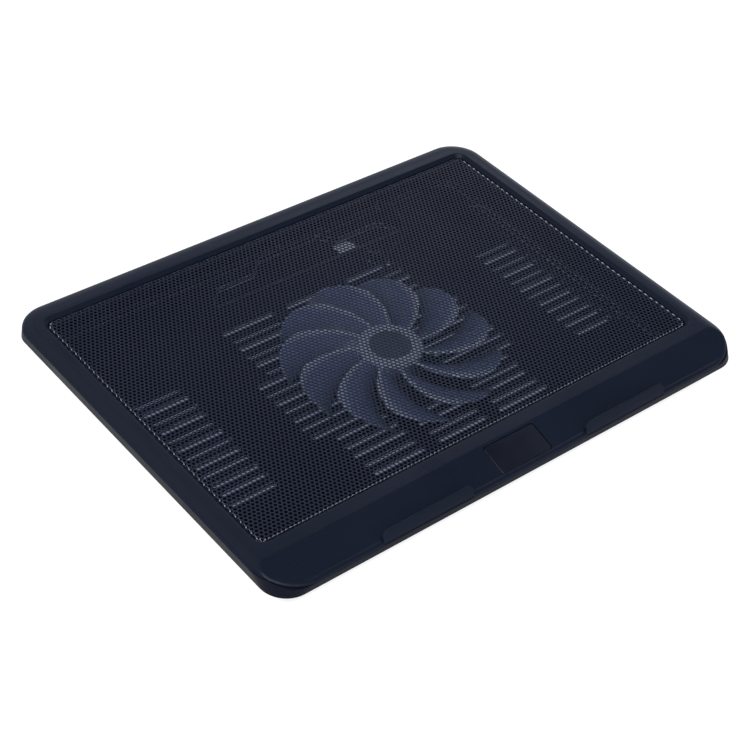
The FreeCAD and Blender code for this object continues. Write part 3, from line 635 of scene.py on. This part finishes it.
def fan_moulding(name, base, low, high):
    """Glossy fan plastic: painted shade darkens it down the pitch of each blade, and painted highlights line
    its upper edge and its rounded edges.
    """
    # the pale edges here are a painted highlight, in the highlight colour
    shader = moulded(name, base, 0.25, relief=0.00001, edge=0.0014, edge_highlight_and_wear=high)
    # painted shade: darker toward the blades' low, trailing part
    shader.tint(shader.height(1.0, 0.0, *BLADE_PAINTED_SHADE), low)
    # painted highlight: a pale line along the blades' upper edge
    shader.tint(shader.height(0.0, 0.45, *BLADE_PAINTED_HIGHLIGHT), high)
    return shader


def base_moulding(name, base, painted_edge_highlight):
    """Satin base plastic. Near its floor, edges get a painted highlight except on faces that point down."""
    shader = moulded(name, base, 0.5, edge=0.0006, specular=0.08)
    # painted highlight on the edges near the floor, not on faces that point down
    inside = shader.times(shader.height(1.0, 0.0, *PAN_PAINTED_HIGHLIGHT), shader.level(0.0, 1.0, -0.06, -0.01))
    shader.tint(shader.times(shader.edges(0.0007)[0], inside), painted_edge_highlight)
    return shader


def painted_sheet(name, base, roughness, painted_bend_highlight):
    """Powder-coated sheet, with a painted highlight where it is bent over at its edge."""
    shader = Shader(name, base, roughness)
    shader.mottled(base)
    # painted highlight on the bend, between the flat top and the wall
    not_flat = shader.level(1.0, 0.0, 0.75, 0.93)
    not_wall = shader.level(0.0, 1.0, 0.1, 0.3)
    shader.tint(shader.times(not_flat, not_wall), painted_bend_highlight)
    shader.uneven_gloss(roughness)
    shader.bump(shader.noise(5200.0, 2.0), 0.00004, 0.5)
    return shader


def metal(name, base, roughness, stretch, relief=0.00002, scale=1500.0):
    """Bare metal with fine tool marks and faint staining."""
    shader = Shader(name, base, roughness, {"Metallic": 1.0})
    shader.tint(shader.ranged(shader.noise(90.0, 4.0), 0.0, 0.6, 0.45, 0.7), lighter(base, 0.7))
    marks = shader.noise(scale, 2.0, stretch)
    rough = shader.ranged(marks, roughness - 0.08, roughness + 0.12, 0.3, 0.7)
    shader.link(rough, shader.bsdf.inputs["Roughness"])
    shader.bump(marks, relief, 0.6)
    return shader


def rubber(name, base, roughness=0.75):
    """Matt rubber with a fine pebbled skin and pale scuffs."""
    shader = Shader(name, base, roughness, {"Specular IOR Level": 0.35})
    shader.tint(shader.ranged(shader.noise(220.0, 5.0), 0.0, 0.6, 0.52, 0.7), lighter(base, 2.0))
    shader.bump(shader.noise(3200.0, 3.0), 0.00006, 0.8)
    return shader


def banded(name, base, dark, scale, relief, roughness):
    """Fine level bands of metal: stacked sheets or laid wire."""
    shader = Shader(name, base, roughness, {"Metallic": 1.0})
    wave = shader.add("ShaderNodeTexWave", {"Scale": scale, "Distortion": 0.4}, bands_direction="Z")
    shader.link(shader.place, wave.inputs["Vector"])
    shader.tint(shader.ranged(wave.outputs["Fac"], 1.0, 0.0, 0.1, 0.5), dark)
    shader.tint(shader.ranged(shader.noise(400.0), 0.0, 0.4, 0.4, 0.8), lighter(base, 0.75))
    shader.bump(wave.outputs["Fac"], relief, 0.8)
    return shader


def circuit_board(name):
    """Green solder mask over copper tracks."""
    base = (0.012, 0.09, 0.035)
    shader = Shader(name, base, 0.35, {"Coat Weight": 0.3})
    tracks = shader.add("ShaderNodeTexBrick", {"Scale": 420.0, "Mortar Size": 0.08}, offset=0.5)
    shader.link(shader.place, tracks.inputs["Vector"])
    shader.tint(shader.ranged(tracks.outputs["Fac"], 0.0, 0.8), (0.02, 0.19, 0.07))
    shader.bump(tracks.outputs["Fac"], 0.00004, 0.8)
    shader.specks(700.0, 0.16, (0.65, 0.62, 0.55))
    return shader


def make_materials():
    """One material per slot of the record, by its slot's name."""
    made = [
        deck_moulding("deck_plastic", (0.0096, 0.0135, 0.0258)),
        moulded("badge_plastic", (0.007, 0.009, 0.017), 0.28, relief=0.00001, dust=False),
        # the last colour is the painted highlight on the panel's bent edge
        painted_sheet("panel_metal", (0.0175, 0.0225, 0.043), 0.36, (0.45, 0.48, 0.56)),
        # the last colour is the painted highlight on the base's edges near its floor
        base_moulding("base_plastic", (0.0048, 0.006, 0.0135), (0.5, 0.54, 0.68)),
        # the last two colours are the blades' painted shade and painted highlight
        fan_moulding("fan_plastic", (0.15, 0.2, 0.38), (0.04, 0.054, 0.1), (0.8, 0.87, 1.0)),
        moulded("hub_label", (0.085, 0.105, 0.175), 0.4, grain=1800.0),
        moulded("chip_epoxy", (0.012, 0.012, 0.013), 0.5, grain=6000.0, dust=False),
        moulded("wear_plastic", (0.62, 0.62, 0.58), 0.45, dust=False),
        moulded("insulator_plastic", (0.55, 0.53, 0.45), 0.5, dust=False),
        rubber("foot_rubber", (0.014, 0.014, 0.016)),
        rubber("lead_sheath", (0.016, 0.016, 0.019), 0.5),
        rubber("magnet_rubber", (0.03, 0.027, 0.027), 0.6),
        metal("steel", (0.5, 0.5, 0.51), 0.35, (1.0, 1.0, 0.12)),
        metal("shaft_steel", (0.62, 0.62, 0.64), 0.18, (1.0, 1.0, 8.0), 0.000005),
        metal("sintered_bronze", (0.42, 0.27, 0.11), 0.5, (1.0, 1.0, 1.0), 0.00005, 2600.0),
        banded("core_steel", (0.3, 0.3, 0.32), (0.06, 0.06, 0.065), LAMINATION_SCALE, 0.00008, 0.4),
        banded("copper", (0.6, 0.22, 0.07), (0.16, 0.04, 0.012), WIRE_SCALE, 0.00012, 0.3),
        circuit_board("board"),
    ]
    return {shader.slot: shader.material for shader in made}


# ---------------------------------------------------------------- setting

def add_camera():
    """The photograph's viewpoint, with its slight roll."""
    azimuth, elevation, roll = (math.radians(angle) for angle in (AZIMUTH, ELEVATION, ROLL))
    aim = Vector(AIM) * MM
    distance = DISTANCE * MM
    back = Vector((math.sin(azimuth) * math.cos(elevation), -math.cos(azimuth) * math.cos(elevation),
                   math.sin(elevation)))
    level = Vector((math.cos(azimuth), math.sin(azimuth), 0))
    upright = back.cross(level)
    right = level * math.cos(roll) + upright * math.sin(roll)
    up = upright * math.cos(roll) - level * math.sin(roll)
    data = bpy.data.cameras.new("camera")
    data.lens = LENS
    data.sensor_width = SENSOR
    camera = bpy.data.objects.new("camera", data)
    bpy.context.scene.collection.objects.link(camera)
    facing = Matrix((right, up, back)).transposed().to_4x4()
    camera.matrix_world = Matrix.Translation(aim + back * distance) @ facing
    bpy.context.scene.camera = camera


def add_light(name, place, size, power):
    """Large soft panel, facing the pad."""
    data = bpy.data.lights.new(name, "AREA")
    data.shape = "RECTANGLE"
    data.size, data.size_y = size
    data.energy = power
    light = bpy.data.objects.new(name, data)
    bpy.context.scene.collection.objects.link(light)
    facing = (-Vector(place)).to_track_quat("-Z", "Y").to_matrix().to_4x4()
    light.matrix_world = Matrix.Translation(place) @ facing


def add_surroundings():
    """Dim bluish studio: brighter toward the horizon and to the pad's right."""
    world = bpy.data.worlds.new("studio")
    bpy.context.scene.world = world
    world.use_nodes = True
    tree = world.node_tree
    split = tree.nodes.new("ShaderNodeSeparateXYZ")
    place = tree.nodes.new("ShaderNodeTexCoord")
    tree.links.new(place.outputs["Generated"], split.inputs["Vector"])
    ramp = tree.nodes.new("ShaderNodeValToRGB")
    elements = ramp.color_ramp.elements
    while len(elements) < len(SKY_LEVELS):
        elements.new(0.5)
    for element, (position, level) in zip(elements, SKY_LEVELS):
        element.position = position
        element.color = (*(level * part for part in SKY_TINT), 1)
    tree.links.new(split.outputs["Z"], ramp.inputs["Fac"])
    sideways = tree.nodes.new("ShaderNodeMapRange")
    sideways.inputs["From Min"].default_value = -1.0
    sideways.inputs["To Min"].default_value = SKY_LEFT
    sideways.inputs["To Max"].default_value = SKY_RIGHT
    tree.links.new(split.outputs["X"], sideways.inputs["Value"])
    background = tree.nodes["Background"]
    tree.links.new(ramp.outputs["Color"], background.inputs["Color"])
    tree.links.new(sideways.outputs["Result"], background.inputs["Strength"])


def shaded_footprint(tree, target):
    """Glow of the floor: white in the open, with a painted shadow, dim and bluish, under the pad's pan."""
    place = tree.nodes.new("ShaderNodeTexCoord")
    split = tree.nodes.new("ShaderNodeSeparateXYZ")
    tree.links.new(place.outputs["Object"], split.inputs["Vector"])
    masks = []
    for axis, reach in PAINTED_SHADOW_REACH:
        away = tree.nodes.new("ShaderNodeMath")
        away.operation = "ABSOLUTE"
        tree.links.new(split.outputs[axis], away.inputs[0])
        inside = tree.nodes.new("ShaderNodeMapRange")
        inside.inputs["From Min"].default_value = reach
        inside.inputs["From Max"].default_value = reach - PAINTED_SHADOW_FADE
        tree.links.new(away.outputs["Value"], inside.inputs["Value"])
        masks.append(inside.outputs["Result"])
    both = tree.nodes.new("ShaderNodeMath")
    both.operation = "MULTIPLY"
    tree.links.new(masks[0], both.inputs[0])
    tree.links.new(masks[1], both.inputs[1])
    mix = tree.nodes.new("ShaderNodeMixRGB")
    mix.inputs["Color1"].default_value = FLOOR_GLOW
    mix.inputs["Color2"].default_value = UNDER_PAD_PAINTED_SHADOW
    tree.links.new(both.outputs["Value"], mix.inputs["Fac"])
    tree.links.new(mix.outputs["Color"], target)


def add_floor():
    """Pale plain floor, lit from within so that it stays white right up to the pad, with a painted shadow
    under the pad's pan.
    """
    mesh = bpy.data.meshes.new("floor")
    corners = [(x * FLOOR_REACH, y * FLOOR_REACH, 0) for x, y in ((-1, -1), (1, -1), (1, 1), (-1, 1))]
    mesh.from_pydata(corners, [], [(0, 1, 2, 3)])
    material = bpy.data.materials.new("floor")
    material.use_nodes = True
    bsdf = material.node_tree.nodes["Principled BSDF"]
    bsdf.inputs["Base Color"].default_value = FLOOR_PAINT
    bsdf.inputs["Roughness"].default_value = 0.9
    bsdf.inputs["Specular IOR Level"].default_value = 0.0
    bsdf.inputs["Emission Strength"].default_value = 1.0
    shaded_footprint(material.node_tree, bsdf.inputs["Emission Color"])
    mesh.materials.append(material)
    floor = bpy.data.objects.new("floor", mesh)
    bpy.context.scene.collection.objects.link(floor)


def dress_nodes(materials):
    """Give every CAD node the material of its slot in the record."""
    slots = {part["node"]: part["material_slot"] for part in frame["record"]["subparts"]}
    for name, node in frame["nodes"].items():
        node.data.materials.clear()
        node.data.materials.append(materials[slots[name]])


add_camera()
add_surroundings()
add_floor()
for light in LIGHTS:
    add_light(*light)
materials = make_materials()
dress_nodes(materials)
add_deck(materials["deck_plastic"])
add_stop("laptop_stop_left", -STOP_X, materials["deck_plastic"])
add_stop("laptop_stop_right", STOP_X, materials["deck_plastic"])
add_badge(materials["badge_plastic"])
add_panel(materials["panel_metal"])
bpy.context.scene.view_settings.view_transform = "Standard"
